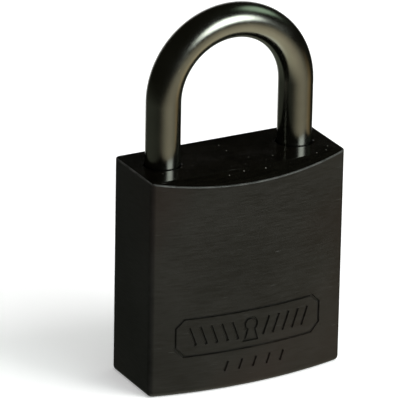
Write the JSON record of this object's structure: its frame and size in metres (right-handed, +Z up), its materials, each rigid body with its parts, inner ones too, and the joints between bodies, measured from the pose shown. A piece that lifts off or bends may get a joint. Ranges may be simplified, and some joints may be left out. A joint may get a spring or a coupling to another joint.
{
  "type": "padlock",
  "caption": "Padlock with a solid block body, bowed front, round steel shackle, two locking balls and a pin cylinder at the base.",
  "frame": {"origin": "middle of the underside of the upright lock, on the surface it stands on", "axes": "+Z up through the shackle, -Y out of the bowed front, +Y out of the flat back, heel leg of the shackle at -X"},
  "size_m": [0.04, 0.0176, 0.0712],
  "materials": {
    "black_anodised_aluminium": "black anodised, fine horizontal brushing on the front, glossy on top",
    "satin_nickel_steel": "satin nickel plating on hardened steel, round bar",
    "ball_steel": "polished bearing steel",
    "die_cast_zinc": "plain die-cast zinc",
    "cylinder_brass": "machined brass",
    "plug_brass": "machined brass, faced at the keyway",
    "pin_brass": "turned brass",
    "pin_nickel_silver": "turned nickel silver",
    "spring_steel": "drawn spring wire",
    "clip_steel": "blued spring steel",
    "black_screw_steel": "black oxide steel"
  },
  "bodies": {
    "case": {"lock_body": "black_anodised_aluminium", "cross_bore_plug": "black_anodised_aluminium", "cylinder_housing": "cylinder_brass", "chamber_cover": "cylinder_brass", "cylinder_screw": "black_screw_steel", "shackle_spring": "spring_steel", "pin_spring_1": "spring_steel", "pin_spring_2": "spring_steel", "pin_spring_3": "spring_steel", "pin_spring_4": "spring_steel", "pin_spring_5": "spring_steel"},
    "shackle": {"shackle": "satin_nickel_steel"},
    "plug": {"cylinder_plug": "plug_brass", "plug_retaining_clip": "clip_steel", "locking_cam": "die_cast_zinc"},
    "heel_ball": {"heel_ball": "ball_steel"},
    "toe_ball": {"toe_ball": "ball_steel"},
    "driver_pin_1": {"driver_pin_1": "pin_nickel_silver"},
    "driver_pin_2": {"driver_pin_2": "pin_nickel_silver"},
    "driver_pin_3": {"driver_pin_3": "pin_nickel_silver"},
    "driver_pin_4": {"driver_pin_4": "pin_nickel_silver"},
    "driver_pin_5": {"driver_pin_5": "pin_nickel_silver"},
    "key_pin_1": {"key_pin_1": "pin_brass"},
    "key_pin_2": {"key_pin_2": "pin_brass"},
    "key_pin_3": {"key_pin_3": "pin_brass"},
    "key_pin_4": {"key_pin_4": "pin_brass"},
    "key_pin_5": {"key_pin_5": "pin_brass"}
  },
  "joints": [
    {"name": "shackle_lift", "type": "slide", "parent": "case", "child": "shackle", "axis": [0, 0, 1], "range_m": [0, 0.012], "deforming": ["shackle_spring"]},
    {"name": "plug_turn", "type": "hinge", "parent": "case", "child": "plug", "pos_m": [0, 0.00175, 0], "axis": [0, 0, 1], "range_deg": [-90, 0]},
    {"name": "heel_ball_slide", "type": "slide", "parent": "case", "child": "heel_ball", "axis": [-1, 0, 0], "range_m": [0, 0.0009]},
    {"name": "toe_ball_slide", "type": "slide", "parent": "case", "child": "toe_ball", "axis": [1, 0, 0], "range_m": [0, 0.00155]},
    {"name": "driver_pin_1_slide", "type": "slide", "parent": "case", "child": "driver_pin_1", "axis": [1, 0, 0], "range_m": [0, 0.0025], "stiffness_N_per_m": 50, "springref_m": -0.004, "deforming": ["pin_spring_1"]},
    {"name": "driver_pin_2_slide", "type": "slide", "parent": "case", "child": "driver_pin_2", "axis": [1, 0, 0], "range_m": [0, 0.0025], "stiffness_N_per_m": 50, "springref_m": -0.004, "deforming": ["pin_spring_2"]},
    {"name": "driver_pin_3_slide", "type": "slide", "parent": "case", "child": "driver_pin_3", "axis": [1, 0, 0], "range_m": [0, 0.0025], "stiffness_N_per_m": 50, "springref_m": -0.004, "deforming": ["pin_spring_3"]},
    {"name": "driver_pin_4_slide", "type": "slide", "parent": "case", "child": "driver_pin_4", "axis": [1, 0, 0], "range_m": [0, 0.0025], "stiffness_N_per_m": 50, "springref_m": -0.004, "deforming": ["pin_spring_4"]},
    {"name": "driver_pin_5_slide", "type": "slide", "parent": "case", "child": "driver_pin_5", "axis": [1, 0, 0], "range_m": [0, 0.0025], "stiffness_N_per_m": 50, "springref_m": -0.004, "deforming": ["pin_spring_5"]},
    {"name": "key_pin_1_slide", "type": "slide", "parent": "plug", "child": "key_pin_1", "axis": [0, -1, 0], "range_m": [0, 0.00085]},
    {"name": "key_pin_2_slide", "type": "slide", "parent": "plug", "child": "key_pin_2", "axis": [0, -1, 0], "range_m": [0, 0.00165]},
    {"name": "key_pin_3_slide", "type": "slide", "parent": "plug", "child": "key_pin_3", "axis": [0, -1, 0], "range_m": [0, 0.00045]},
    {"name": "key_pin_4_slide", "type": "slide", "parent": "plug", "child": "key_pin_4", "axis": [0, -1, 0], "range_m": [0, 0.00125]},
    {"name": "key_pin_5_slide", "type": "slide", "parent": "plug", "child": "key_pin_5", "axis": [0, -1, 0], "range_m": [0, 0.00185]}
  ],
  "couplings": [
    {"joint": "heel_ball_slide", "follows": "plug_turn", "m_per_rad": -0.00057295},
    {"joint": "toe_ball_slide", "follows": "plug_turn", "m_per_rad": -0.00098675}
  ]
}
